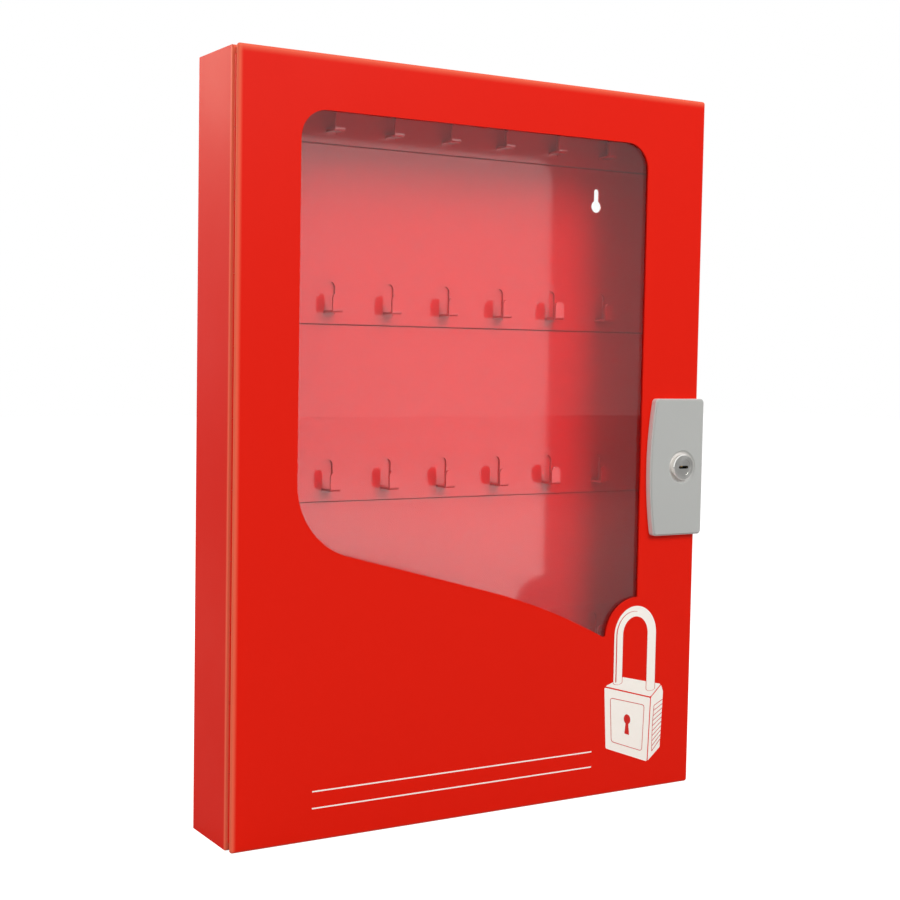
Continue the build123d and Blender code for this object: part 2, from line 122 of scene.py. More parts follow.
@dataclass(frozen=True)
class Finish:
    """A surface finish, made into a node material once.

    Attributes:
        name: Name of the material.
        base: Linear base colour.
        worn: Linear colour that the base drifts to in soft patches.
        patch_scale: Patches per metre.
        roughness: Roughness of the smooth parts.
        roughness_spread: How much rougher the dull patches are.
        metallic: 0 for paint and plastic, 1 for bare metal.
        specular: Specular level of a non-metal.
        ior: Index of refraction.
        coat: Weight of the clear coat.
        grain: How the fine relief runs.
        grain_scale: Grains per metre.
        grain_depth: Depth of the relief in metres.
        pale: Linear colour of the painted highlight bands.
        highlight_bands: The painted highlight bands along the sides.
    """

    name: str
    base: Colour
    worn: Colour
    patch_scale: float = 18.0
    roughness: float = 0.35
    roughness_spread: float = 0.08
    metallic: float = 0.0
    specular: float = 0.5
    ior: float = 1.5
    coat: float = 0.0
    grain: Grain = Grain.ORANGE_PEEL
    grain_scale: float = 700.0
    grain_depth: float = 0.00002
    pale: Colour = (0.0, 0.0, 0.0)
    highlight_bands: Sequence[PaintedHighlight] = ()

    def material(self) -> bpy.types.Material:
        """Builds the material, or returns it if it stands already."""
        found = bpy.data.materials.get(self.name)
        if found:
            return found
        material = bpy.data.materials.new(self.name)
        material.use_nodes = True
        nodes, links = material.node_tree.nodes, material.node_tree.links
        shader = nodes["Principled BSDF"]
        shader.inputs["Metallic"].default_value = self.metallic
        shader.inputs["Specular IOR Level"].default_value = self.specular
        shader.inputs["IOR"].default_value = self.ior
        shader.inputs["Coat Weight"].default_value = self.coat
        shader.inputs["Coat Roughness"].default_value = self.roughness * 0.5
        place = nodes.new("ShaderNodeTexCoord")
        patches = nodes.new("ShaderNodeTexNoise")
        patches.inputs["Scale"].default_value = self.patch_scale
        patches.inputs["Detail"].default_value = PATCH_DETAIL
        links.new(place.outputs["Object"], patches.inputs["Vector"])
        tint = nodes.new("ShaderNodeMix")
        tint.data_type = "RGBA"
        tint.inputs["A"].default_value = (*self.base, 1.0)
        tint.inputs["B"].default_value = (*self.worn, 1.0)
        links.new(patches.outputs["Fac"], tint.inputs["Factor"])
        colour = self.highlighted(material, place.outputs["Object"], tint.outputs["Result"])
        links.new(colour, shader.inputs["Base Color"])
        dullness = nodes.new("ShaderNodeMapRange")
        dullness.inputs["From Min"].default_value = PATCH_EDGES[0]
        dullness.inputs["From Max"].default_value = PATCH_EDGES[1]
        dullness.inputs["To Min"].default_value = self.roughness
        dullness.inputs["To Max"].default_value = self.roughness + self.roughness_spread
        links.new(patches.outputs["Fac"], dullness.inputs["Value"])
        links.new(dullness.outputs["Result"], shader.inputs["Roughness"])
        if self.grain is not Grain.NONE:
            self.relief(material, place.outputs["Object"], shader.inputs["Normal"])
        return material

    def highlighted(
        self,
        material: bpy.types.Material,
        place: bpy.types.NodeSocket,
        colour: bpy.types.NodeSocket,
    ) -> bpy.types.NodeSocket:
        """Lays the painted highlight bands over a colour, each a smooth ramp across its side.

        Args:
            material: The material that gets the bands.
            place: Socket with the object coordinates.
            colour: Socket with the colour under the bands.

        Returns:
            Socket with the colour that shows.
        """
        nodes, links = material.node_tree.nodes, material.node_tree.links
        # Each band paints a highlight: the colour turns paler towards the edge, standing in for light
        # on the rounded fold.
        for highlight in self.highlight_bands:
            parts = nodes.new("ShaderNodeSeparateXYZ")
            links.new(place, parts.inputs["Vector"])
            ramp = nodes.new("ShaderNodeMapRange")
            ramp.interpolation_type = "SMOOTHSTEP"
            ramp.inputs["From Min"].default_value = highlight.start
            ramp.inputs["From Max"].default_value = highlight.end
            ramp.inputs["To Max"].default_value = highlight.strength
            links.new(parts.outputs[highlight.axis], ramp.inputs["Value"])
            over = nodes.new("ShaderNodeMix")
            over.data_type = "RGBA"
            over.inputs["B"].default_value = (*self.pale, 1.0)
            links.new(ramp.outputs["Result"], over.inputs["Factor"])
            links.new(colour, over.inputs["A"])
            colour = over.outputs["Result"]
        return colour

    def relief(
        self,
        material: bpy.types.Material,
        place: bpy.types.NodeSocket,
        normal: bpy.types.NodeSocket,
    ) -> None:
        """Adds the fine relief: noise for paint, noise drawn out along one way for metal.

        Args:
            material: The material that gets the relief.
            place: Socket with the object coordinates.
            normal: Socket of the shader that takes the relief.
        """
        nodes, links = material.node_tree.nodes, material.node_tree.links
        stretch = nodes.new("ShaderNodeMapping")
        stretch.inputs["Scale"].default_value = {
            Grain.ORANGE_PEEL: (1.0, 1.0, 1.0),
            Grain.ROLLED: (1.0, 1.0, 0.06),
            Grain.TURNED: (1.0, 0.15, 1.0),
        }[self.grain]
        links.new(place, stretch.inputs["Vector"])
        grains = nodes.new("ShaderNodeTexNoise")
        grains.inputs["Scale"].default_value = self.grain_scale
        grains.inputs["Detail"].default_value = GRAIN_DETAIL
        links.new(stretch.outputs["Vector"], grains.inputs["Vector"])
        bump = nodes.new("ShaderNodeBump")
        bump.inputs["Strength"].default_value = 1.0
        bump.inputs["Distance"].default_value = self.grain_depth
        links.new(grains.outputs["Fac"], bump.inputs["Height"])
        links.new(bump.outputs["Normal"], normal)


@dataclass(frozen=True)
class ClearSheet:
    """Polished clear acrylic that lets the light through to what lies behind it.

    Attributes:
        name: Name of the material.
        tint: Linear colour of what passes through.
        ior: Index of refraction, which sets how much the faces mirror.
        roughness: Roughness of the faces.
        smear_scale: Soft smears per metre.
        smear_edges: Noise values between which a smear sets in.
        smear_haze: How much rougher a smear is.
    """

    name: str
    tint: Colour
    ior: float = 1.36
    roughness: float = 0.0
    smear_scale: float = 9.0
    smear_edges: tuple[float, float] = (0.4, 0.8)
    smear_haze: float = 0.02

    def material(self) -> bpy.types.Material:
        """Builds the material, or returns it if it stands already."""
        found = bpy.data.materials.get(self.name)
        if found:
            return found
        material = bpy.data.materials.new(self.name)
        material.use_nodes = True
        nodes, links = material.node_tree.nodes, material.node_tree.links
        shader = nodes["Principled BSDF"]
        shader.inputs["Base Color"].default_value = (*self.tint, 1.0)
        shader.inputs["IOR"].default_value = self.ior
        shader.inputs["Transmission Weight"].default_value = 1.0
        place = nodes.new("ShaderNodeTexCoord")
        smears = nodes.new("ShaderNodeTexNoise")
        smears.inputs["Scale"].default_value = self.smear_scale
        links.new(place.outputs["Object"], smears.inputs["Vector"])
        haze = nodes.new("ShaderNodeMapRange")
        haze.inputs["From Min"].default_value = self.smear_edges[0]
        haze.inputs["From Max"].default_value = self.smear_edges[1]
        haze.inputs["To Min"].default_value = self.roughness
        haze.inputs["To Max"].default_value = self.roughness + self.smear_haze
        links.new(smears.outputs["Fac"], haze.inputs["Value"])
        links.new(haze.outputs["Result"], shader.inputs["Roughness"])
        passing = nodes.new("ShaderNodeBsdfTransparent")
        passing.inputs["Color"].default_value = (*self.tint, 1.0)
        ray = nodes.new("ShaderNodeLightPath")
        either = nodes.new("ShaderNodeMixShader")
        links.new(ray.outputs["Is Shadow Ray"], either.inputs["Fac"])
        links.new(shader.outputs["BSDF"], either.inputs[1])
        links.new(passing.outputs["BSDF"], either.inputs[2])
        links.new(either.outputs["Shader"], nodes["Material Output"].inputs["Surface"])
        return material


# The pale bands along the door's top, hinge-side, right and bottom edges are painted highlight on its
# rounded edges.
DOOR_PAINT = Finish(
    "door_powder_coat", (0.770, 0.0100, 0.0010), (0.750, 0.0090, 0.0008),
    roughness=0.42, roughness_spread=0.06, specular=0.11, pale=(0.90, 0.16, 0.085),
    highlight_bands=(
        PaintedHighlight("Z", 0.2445, 0.2500, 0.85),
        PaintedHighlight("X", -0.1790, -0.1828, 0.95),
        PaintedHighlight("X", 0.1808, 0.1832, 0.55),
        PaintedHighlight("Z", -0.2480, -0.2502, 0.50),
    ),
)
# The pale band towards the walls' front edge is painted highlight on their folded bend.
BODY_PAINT = Finish(
    "body_powder_coat", (0.740, 0.0120, 0.0030), (0.715, 0.0110, 0.0026),
    roughness=0.34, roughness_spread=0.05, specular=0.06, pale=(0.95, 0.20, 0.11),
    highlight_bands=(PaintedHighlight("Y", -0.0500, -0.0528, 0.75),),
)
# The hinge has the body's paint without the painted highlight band.
HINGE_PAINT = replace(BODY_PAINT, name="hinge_powder_coat", highlight_bands=())
INNER_PAINT = Finish(
    "inner_gloss_coat", (0.520, 0.0040, 0.0060), (0.500, 0.0037, 0.0055),
    roughness=0.11, roughness_spread=0.03, ior=1.85, specular=0.5, grain_depth=0.0000006,
)
# The pale band towards the plate's front bevel and in its dished recess is painted highlight.
GREY_COAT = Finish(
    "satin_grey_coat", linear(182, 183, 180), linear(176, 178, 175),
    roughness=0.42, roughness_spread=0.06, specular=0.35, grain_scale=1600.0,
    grain_depth=0.000012, pale=(0.93, 0.88, 0.86), highlight_bands=(PaintedHighlight("Y", -0.0671, -0.0655, 0.65),),
)
POLISH = Finish(
    "polished_chrome", (0.95, 0.94, 0.90), (0.90, 0.89, 0.86), patch_scale=90.0,
    roughness=0.06, roughness_spread=0.08, metallic=1.0, grain=Grain.TURNED,
    grain_scale=2500.0, grain_depth=0.000003,
)
ZINC = Finish(
    "bright_zinc", (0.62, 0.63, 0.64), (0.50, 0.52, 0.55), patch_scale=120.0,
    roughness=0.28, roughness_spread=0.18, metallic=1.0, grain=Grain.ROLLED,
    grain_scale=1800.0, grain_depth=0.000008,
)
ALUMINIUM = Finish(
    "rivet_aluminium", (0.80, 0.80, 0.81), (0.70, 0.70, 0.72), patch_scale=200.0,
    roughness=0.36, roughness_spread=0.15, metallic=1.0, grain=Grain.TURNED,
    grain_scale=2200.0, grain_depth=0.000006,
)
RUBBER = Finish(
    "bumper_rubber", (0.022, 0.022, 0.023), (0.035, 0.034, 0.033), patch_scale=300.0,
    roughness=0.62, roughness_spread=0.15, specular=0.35, grain_scale=3000.0,
    grain_depth=0.00002,
)
BRASS = Finish(
    "wafer_brass", (0.62, 0.43, 0.18), (0.45, 0.30, 0.12), patch_scale=400.0,
    roughness=0.35, roughness_spread=0.2, metallic=1.0, grain=Grain.ROLLED,
    grain_scale=4000.0, grain_depth=0.000005,
)
WHITE_INK = Finish(
    "white_screen_ink", linear(255, 251, 243), linear(252, 246, 236), patch_scale=260.0,
    roughness=0.38, roughness_spread=0.10, specular=0.3, grain_scale=2600.0,
    grain_depth=0.000006,
)
RED_INK = Finish(
    "red_screen_ink", (0.66, 0.018, 0.012), (0.60, 0.014, 0.010), patch_scale=260.0,
    roughness=0.40, roughness_spread=0.10, specular=0.25, grain_scale=2600.0,
    grain_depth=0.000006,
)
# Dark paint for the painted shadow under each hook rail, where the rail shades the back panel.
PAINTED_RAIL_SHADOW = Finish(
    "seam_shadow_paint", (0.230, 0.0030, 0.0040), (0.180, 0.0020, 0.0030), patch_scale=60.0,
    roughness=0.60, roughness_spread=0.10, specular=0.1, grain_scale=1500.0,
)
PANE = ClearSheet("polished_acrylic", (0.97, 0.975, 0.975))


def close_poles(mesh: bpy.types.Mesh) -> None:
    """Merges the points that lie in one place, so that poles and seams are closed."""
    joined = bmesh.new()
    joined.from_mesh(mesh)
    bmesh.ops.remove_doubles(joined, verts=joined.verts, dist=SAME_PLACE)
    joined.to_mesh(mesh)
    joined.free()
    mesh.validate()


@dataclass
class Surface:
    """Vertices and faces of one or more grids, gathered into one mesh.

    Attributes:
        points: Vertex arrays, each n by 3, in millimetres.
        faces: Face arrays, each m by 4, already offset.
        count: Vertices gathered so far.
    """

    points: list[np.ndarray] = field(default_factory=list)
    faces: list[np.ndarray] = field(default_factory=list)
    count: int = 0

    def grid(self, sheet: np.ndarray, closed: bool = False) -> None:
        """Adds a grid of points as quads.

        Args:
            sheet: Array rows by columns by 3, in millimetres. Seen from a face's front, rows
                go up where columns go right.
            closed: Whether the last column joins the first.
        """
        rows, columns = sheet.shape[:2]
        index = np.arange(rows * columns).reshape(rows, columns) + self.count
        if closed:
            index = np.concatenate((index, index[:, :1]), axis=1)
        quads = np.stack(
            (index[:-1, :-1], index[:-1, 1:], index[1:, 1:], index[1:, :-1]), axis=-1
        )
        self.points.append(sheet.reshape(-1, 3))
        self.faces.append(quads.reshape(-1, 4))
        self.count += rows * columns

    def build(
        self, name: str, finish: Finish, body: str, smooth: bool = True
    ) -> bpy.types.Object:
        """Makes the object, gives it its finish and lets it ride on a body.

        Args:
            name: Name of the piece.
            finish: Its finish.
            body: The body that it rides on.
            smooth: Whether its faces are shaded smooth.

        Returns:
            The finished piece.
        """
        points = np.concatenate(self.points) * MM
        faces = np.concatenate(self.faces)
        mesh = bpy.data.meshes.new(name)
        mesh.vertices.add(len(points))
        mesh.vertices.foreach_set("co", points.astype(np.float32).ravel())
        mesh.loops.add(faces.size)
        mesh.loops.foreach_set("vertex_index", faces.astype(np.int32).ravel())
        mesh.polygons.add(len(faces))
        starts = np.arange(0, faces.size, faces.shape[1], dtype=np.int32)
        mesh.polygons.foreach_set("loop_start", starts)
        mesh.polygons.foreach_set("use_smooth", np.full(len(faces), smooth))
        mesh.update(calc_edges=True)
        close_poles(mesh)
        mesh.materials.append(finish.material())
        piece = bpy.data.objects.new(name, mesh)
        bpy.context.scene.collection.objects.link(piece)
        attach(piece, body)
        log.info("%s: %d faces", name, len(faces))
        return piece


def dress(node: str, finish: Finish | ClearSheet) -> None:
    """Gives a carried-over node its finish.

    Args:
        node: Name of the node.
        finish: The finish.
    """
    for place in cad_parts[node].material_slots:
        place.material = finish.material()
    log.info("%s: %s", node, finish.name)


def box_mm(node: str) -> tuple[np.ndarray, np.ndarray]:
    """Returns the lowest and highest corners of a node, in millimetres."""
    low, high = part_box(node)
    return np.array(low) / MM, np.array(high) / MM


@dataclass
class Cabinet:
    """The body: back panel, walls, hook rails, hinge leaf, pin, rivets and bumpers.

    Attributes:
        outer: Nodes with the outer paint.
        hinge: Nodes of the hinge that are painted with the body.
        rails: Nodes of the hook rails.
        shadow_height: Height of the painted shadow under a rail.
        shadow_depth: How far the painted shadow stands off the back panel.
        shadow_grid: Points across and along a painted shadow.
        rivet_pitch: Distance between two rivets.
        rivet_count: Number of rivets.
        mandrel_radius: Radius of the broken mandrel in a rivet's head.
        mandrel_height: How far the mandrel stands out of the head.
        mandrel_grid: Points from a mandrel's rim to its middle, and round it.
    """

    outer: Sequence[str] = ("wall_left", "wall_right", "wall_top", "wall_bottom")
    hinge: Sequence[str] = ("hinge_leaf_body", "hinge_pin")
    rails: Sequence[str] = ("hook_rail_1", "hook_rail_2", "hook_rail_3", "hook_rail_4")
    shadow_height: float = 0.7
    shadow_depth: float = 0.25
    shadow_grid: tuple[int, int] = (5, 24)
    rivet_pitch: float = 122.0
    rivet_count: int = 4
    mandrel_radius: float = 0.95
    mandrel_height: float = 0.3
    mandrel_grid: tuple[int, int] = (6, 24)

    def make(self) -> None:
        """Dresses the nodes and adds the painted shadows under the rails and the rivets' mandrels."""
        for node in self.outer:
            dress(node, BODY_PAINT)
        for node in self.hinge:
            dress(node, HINGE_PAINT)
        for node in ("back_panel", *self.rails):
            dress(node, INNER_PAINT)
        dress("hinge_rivets", ALUMINIUM)
        dress("door_bumpers", RUBBER)
        self.rail_shadows()
        self.mandrels()

    def rail_shadows(self) -> None:
        """Draws the painted shadow under each rail: a thin dark bead, a quarter of an ellipse across,
        where the rail's shade falls on the back panel.
        """
        # Each bead is painted shadow: dark paint where the rail shades the back panel.
        surface = Surface()
        back = box_mm("back_panel")[0][1]
        turn = np.linspace(0.0, math.pi / 2, self.shadow_grid[0])
        for rail in self.rails:
            low, high = box_mm(rail)
            along = np.linspace(low[0], high[0], self.shadow_grid[1])
            out = back - self.shadow_depth * np.cos(turn)
            down = low[2] - self.shadow_height * np.sin(turn)
            x, y = np.meshgrid(along, out)
            z = np.broadcast_to(down[:, None], x.shape)
            surface.grid(np.stack((x, y, z), axis=-1)[::-1])
        surface.build("hook_rail_painted_shadows", PAINTED_RAIL_SHADOW, "cabinet")

    def mandrels(self) -> None:
        """Adds the mandrel's end to each rivet head.

        It is a flattened dome whose height falls with radius squared, on a rim that runs into the
        head.
        """
        surface = Surface()
        low, high = box_mm("hinge_rivets")
        x = (low[0] + high[0]) / 2
        turn = np.linspace(0.0, 2 * math.pi, self.mandrel_grid[1], endpoint=False)
        radius = np.linspace(self.mandrel_radius, 0.0, self.mandrel_grid[0])
        rise = self.mandrel_height * (1 - (radius / self.mandrel_radius) ** 2)
        radius = np.insert(radius, 0, self.mandrel_radius)
        rise = np.insert(rise, 0, -self.mandrel_height)
        for index in range(self.rivet_count):
            z = (index - (self.rivet_count - 1) / 2) * self.rivet_pitch
            dome = np.stack(
                (
                    x + radius[:, None] * np.cos(turn),
                    low[1] - rise[:, None] + 0.0 * turn,
                    z + radius[:, None] * np.sin(turn),
                ),
                axis=-1,
            )
            surface.grid(dome, closed=True)
        surface.build("rivet_mandrels", ZINC, "cabinet")


@dataclass
class Door:
    """The door with its pane, fixings and print.

    Attributes:
        ink_lift: How far the ink stands off the paint.
        rule_low: Heights of the two rules above the door's lower edge.
        rule_ends: Where the rules start and end, from the door's hinge edge.
        rule_width: Width of a rule.
        stud_radius: Radius of a stud's core.
        stud_rows: Heights of the side studs from the middle of the studs.
        thread_pitch: Rise of the studs' thread in one turn.
        thread_depth: Depth of the thread.
        thread_grid: Points along and round a thread.
    """

    ink_lift: float = 0.03
    rule_low: Sequence[float] = (21.5, 32.5)
    rule_ends: tuple[float, float] = (56.0, 277.0)
    rule_width: float = 0.9
    stud_radius: float = 1.5
    stud_rows: tuple[float, float] = (-120.0, 120.0)
    thread_pitch: float = 0.5
    thread_depth: float = 0.1
    thread_grid: tuple[int, int] = (57, 24)

    def __post_init__(self) -> None:
        """Reads the door's box."""
        self.low, self.high = box_mm("door_panel")

    def make(self) -> None:
        """Dresses the nodes and prints the door."""
        dress("door_panel", DOOR_PAINT)
        dress("hinge_leaf_door", HINGE_PAINT)
        dress("window_pane", PANE)
        for node in ("pane_studs", "pane_clips", "pane_nuts", "plate_screws"):
            dress(node, ZINC)
        self.rules()
        self.threads()
        PrintedPadlock(self.low, self.ink_lift).make()

    def rules(self) -> None:
        """Prints the two thin rules, each a flat ribbon."""
        surface = Surface()
        for height in self.rule_low:
            ends = np.array([(end, height) for end in self.rule_ends])
            surface.grid(on_door(self.low, self.ink_lift, ribbon(ends, self.rule_width)))
        surface.build("printed_rules", WHITE_INK, "door")

    def threads(self) -> None:
        """Cuts a thread on each stud's free end.

        The radius ripples with the cosine of height over pitch, less the turn. Both ends of the
        thread run into the stud.
        """
        surface = Surface()
        low, high = box_mm("pane_studs")
        nuts = box_mm("pane_nuts")
        inner, outer = nuts[1][1] - self.thread_pitch, high[1] - self.thread_depth
        height = np.linspace(inner, outer, self.thread_grid[0])
        height = np.concatenate((height[:1], height, height[-1:]))[:, None]
        turn = np.linspace(0.0, 2 * math.pi, self.thread_grid[1], endpoint=False)[None, :]
        wave = np.cos(2 * math.pi * height / self.thread_pitch - turn)
        radius = self.stud_radius + self.thread_depth * (1 + wave) / 2
        radius[[0, -1]] = self.stud_radius - self.thread_depth
        middle_x = (low[0] + high[0]) / 2
        middle_z = (low[2] + high[2]) / 2
        reach_x = (high[0] - low[0]) / 2 - self.stud_radius
        reach_z = (high[2] - low[2]) / 2 - self.stud_radius
        places = [(side * reach_x, row) for side in (-1, 1) for row in self.stud_rows]
        places += [(0.0, -reach_z), (0.0, reach_z)]
        for x, z in places:
            tube = np.stack(
                (
                    middle_x + x + radius * np.cos(turn),
                    height + 0.0 * turn,
                    middle_z + z + radius * np.sin(turn),
                ),
                axis=-1,
            )
            surface.grid(tube[::-1], closed=True)
        surface.build("stud_threads", ZINC, "door")


def ribbon(path: np.ndarray, width: float | np.ndarray) -> np.ndarray:
    """Gives a path a width: each point moves half the width along the path's normal.

    Args:
        path: Points n by 2.
        width: Full width, one value or one per point.

    Returns:
        Array 2 by n by 2, right side first.
    """
    along = np.gradient(path, axis=0)
    along /= np.linalg.norm(along, axis=1, keepdims=True)
    normal = np.stack((-along[:, 1], along[:, 0]), axis=1)
    half = np.broadcast_to(np.asarray(width, float) / 2, (len(path),))[:, None]
    return np.stack((path - normal * half, path + normal * half))


def on_door(low: np.ndarray, lift: float, flat: np.ndarray) -> np.ndarray:
    """Lays flat points on the door's face.

    Args:
        low: Lowest corner of the door's box, in millimetres.
        lift: Distance off the face.
        flat: Points, last axis the distances from the hinge edge and from the lower edge.

    Returns:
        The same points in space.
    """
    return np.stack(
        (low[0] + flat[..., 0], np.full(flat.shape[:-1], low[1] - lift), low[2] + flat[..., 1]),
        axis=-1,
    )


def rounded_outline(corners: np.ndarray, radius: float, steps: int = 8) -> np.ndarray:
    """Rounds a convex outline: each corner becomes a quadratic curve between its two tangent points.

    Args:
        corners: Corners n by 2, in order.
        radius: Distance from a corner to its tangent points.
        steps: Points on each corner's curve.

    Returns:
        The outline's points.
    """
    before = np.roll(corners, 1, axis=0) - corners
    after = np.roll(corners, -1, axis=0) - corners
    first = corners + before / np.linalg.norm(before, axis=1, keepdims=True) * radius
    last = corners + after / np.linalg.norm(after, axis=1, keepdims=True) * radius
    t = np.linspace(0.0, 1.0, steps)[None, :, None]
    curve = (1 - t) ** 2 * first[:, None] + 2 * t * (1 - t) * corners[:, None] + t**2 * last[:, None]
    return curve.reshape(-1, 2)


def fan(outline: np.ndarray, rings: int = 2) -> np.ndarray:
    """Fills a convex outline with rings that shrink to its middle.

    Args:
        outline: Points n by 2.
        rings: Rings from the outline to the middle.

    Returns:
        Array rings by n by 2.
    """
    middle = outline.mean(axis=0)
    share = np.linspace(1.0, 0.0, rings)[:, None, None]
    return middle + (outline[None] - middle) * share


class Layer(Enum):
    """Heights of the print's layers off the door, in thicknesses of ink: no two lie level."""

    CASE = 1.0
    LEG_EDGE = 1.6
    FOOT_EDGE = 1.8
    SHACKLE = 2.2
    FOOT = 2.4
    MARK = 2.8
    OVER_MARK = 3.0


@dataclass
class PrintedPadlock:
    """A plain padlock printed in white on the door, with a keyhole.

    Attributes:
        door_low: Lowest corner of the door's box.
        lift: Distance of the first ink layer off the door.
        shackle_middle: Middle of the shackle's bow.
        shackle_radius: Radius of the shackle's middle line.
        shackle_width: Width of the shackle.
        bow_share: Height of the bow as a share of its radius.
        bow_points: Points on the bow.
        edge_width: Width of the red edge round the legs.
        leg_foot: Heights where the left and right leg end on the lock's top.
        foot_share: Height of a leg's round end as a share of its width.
        foot_points: Points round a leg's end.
        front: Corners of the front face.
        side: Corners of the side face.
        top: Corners of the top face.
        corner_radii: Radii of the corners of front, side and top.
        hole_rise: Height of the keyhole over the middle of the front.
        hole_radii: Half width and half height of the keyhole's ring.
        hole_slant: Fall of the ring from its left to its middle.
        hole_points: Points round the keyhole's ring.
        skirt: Corners of the keyhole's lower part, from the middle of its ring.
        skirt_radius: Radius of the skirt's corners.
        plate_share: Width and height of the outlined plate as shares of the front.
        plate_radius: Radius of the plate's corners.
        line_width: Width of the plate's outline and of the ribs.
        shade_offset: Place of the shade line as a share of the shackle's width.
        shade_points: Points of the shackle that the shade line follows.
        shade_widths: Width of the shade line at its foot and at its end.
        rib_count: Number of grip ribs on the side.
        rib_span: Shares of the side's height between which the ribs lie.
        rib_near: Place of the ribs' near ends from the side's front edge.
        rib_far: Place of their far ends from the side's rear edge.
        rib_bow: How far the near ends bow out halfway.
        rib_line: Width of the line that joins the near ends.
    """

    door_low: np.ndarray
    lift: float
    shackle_middle: tuple[float, float] = (313.9, 114.4)
    shackle_radius: float = 15.0
    shackle_width: float = 7.6
    bow_share: float = 1.12
    bow_points: int = 33
    edge_width: float = 0.5
    leg_foot: tuple[float, float] = (80.6, 73.5)
    foot_share: float = 0.45
    foot_points: int = 32
    front: Sequence[tuple[float, float]] = (
        (287.2, 77.9), (289.5, 33.5), (327.2, 19.5), (329.0, 66.3),
    )
    side: Sequence[tuple[float, float]] = (
        (329.8, 66.6), (328.1, 19.8), (338.9, 28.9), (340.8, 69.8), (338.9, 75.0),
    )
    top: Sequence[tuple[float, float]] = (
        (288.1, 78.7), (329.3, 67.2), (338.5, 75.7), (303.0, 84.1),
    )
    corner_radii: Sequence[float] = (1.2, 1.0, 1.2)
    hole_rise: float = 3.4
    hole_radii: tuple[float, float] = (3.0, 3.6)
    hole_slant: float = 0.8
    hole_points: int = 40
    skirt: Sequence[tuple[float, float]] = ((-1.1, -1.6), (-2.1, -10.2), (2.2, -11.8), (1.1, -1.9))
    skirt_radius: float = 0.5
    plate_share: tuple[float, float] = (0.74, 0.72)
    plate_radius: float = 2.4
    line_width: float = 0.5
    shade_offset: float = 0.22
    shade_points: int = 20
    shade_widths: tuple[float, float] = (0.95, 0.2)
    rib_count: int = 10
    rib_span: tuple[float, float] = (0.16, 0.88)
    rib_near: tuple[float, float] = (3.6, 1.2)
    rib_far: tuple[float, float] = (-0.1, 0.9)
    rib_bow: float = 0.9
    rib_line: float = 0.45

    def make(self) -> None:
        """Prints the faces, the shackle and the marks."""
        self.faces()
        self.shackle()
        self.marks()

    def lay(self, layer: Layer, flat: np.ndarray) -> np.ndarray:
        """Lays flat points on the door at the height of a layer."""
        return on_door(self.door_low, layer.value * self.lift, flat)

    def faces(self) -> None:
        """Fills the three faces of the lock's case."""
        surface = Surface()
        for corners, radius in zip((self.front, self.side, self.top), self.corner_radii):
            outline = rounded_outline(np.array(corners), radius)
            surface.grid(self.lay(Layer.CASE, fan(outline)), closed=True)
        surface.build("printed_padlock_case", WHITE_INK, "door", smooth=False)

    def path(self) -> np.ndarray:
        """Returns the shackle's middle line: a leg, a stretched half circle and a leg."""
        angle = np.linspace(math.pi, 0.0, self.bow_points)
        turn = np.stack((np.cos(angle), self.bow_share * np.sin(angle)), axis=1)
        bow = np.array(self.shackle_middle) + self.shackle_radius * turn
        left = np.array([(bow[0, 0], self.leg_foot[0])])
        right = np.array([(bow[-1, 0], self.leg_foot[1])])
        return np.concatenate((left, bow, right))

    def shackle(self) -> None:
        """Prints the shackle with round feet, its legs edged by a thin red line."""
        path = self.path()
        edge = Surface()
        wide = self.shackle_width + 2 * self.edge_width
        for leg in (path[:2], path[-2:]):
            edge.grid(self.lay(Layer.LEG_EDGE, ribbon(leg, wide)))
        for foot in self.feet(path, wide / 2):
            edge.grid(self.lay(Layer.FOOT_EDGE, fan(foot)), closed=True)
        edge.build("printed_shackle_edge", RED_INK, "door", smooth=False)
        band = Surface()
        band.grid(self.lay(Layer.SHACKLE, ribbon(path, self.shackle_width)))
        for foot in self.feet(path, self.shackle_width / 2):
            band.grid(self.lay(Layer.FOOT, fan(foot)), closed=True)
        band.build("printed_shackle", WHITE_INK, "door", smooth=False)

    def feet(self, path: np.ndarray, radius: float) -> Iterable[np.ndarray]:
        """Returns the flattened round ends of the two legs.

        Args:
            path: The shackle's middle line.
            radius: Half the leg's width.

        Returns:
            One outline for each leg.
        """
        angle = np.linspace(0.0, 2 * math.pi, self.foot_points, endpoint=False)
        round_end = np.stack((np.cos(angle), self.foot_share * np.sin(angle)), axis=1) * radius
        return [path[0] + round_end, path[-1] + round_end]

    def marks(self) -> None:
        """Prints the keyhole, the plate's outline, the shade line and the grip ribs."""
        surface = Surface()
        self.keyhole(surface)
        self.plate(surface)
        self.shade(surface)
        self.ribs(surface)
        surface.build("printed_padlock_marks", RED_INK, "door", smooth=False)

    def keyhole(self, surface: Surface) -> None:
        """Adds the keyhole: a slanted ellipse, and a skirt of four rounded corners under it."""
        angle = np.linspace(0.0, 2 * math.pi, self.hole_points, endpoint=False)
        hole = np.array(self.front).mean(axis=0) + np.array((0.0, self.hole_rise))
        wide, high = self.hole_radii
        upright = high * np.sin(angle) - self.hole_slant * np.cos(angle)
        ring = np.stack((wide * np.cos(angle), upright), axis=1)
        surface.grid(self.lay(Layer.MARK, fan(hole + ring)), closed=True)
        skirt = rounded_outline(hole + np.array(self.skirt), self.skirt_radius)
        surface.grid(self.lay(Layer.OVER_MARK, fan(skirt)), closed=True)

    def plate(self, surface: Surface) -> None:
        """Adds the outline of the plate: the front's corners, drawn in to its middle."""
        front = np.array(self.front)
        middle = front.mean(axis=0)
        corners = middle + (front - middle) * np.array(self.plate_share)
        outline = rounded_outline(corners, self.plate_radius)
        line = np.concatenate((outline, outline[:1]))
        surface.grid(self.lay(Layer.MARK, ribbon(line, self.line_width)))

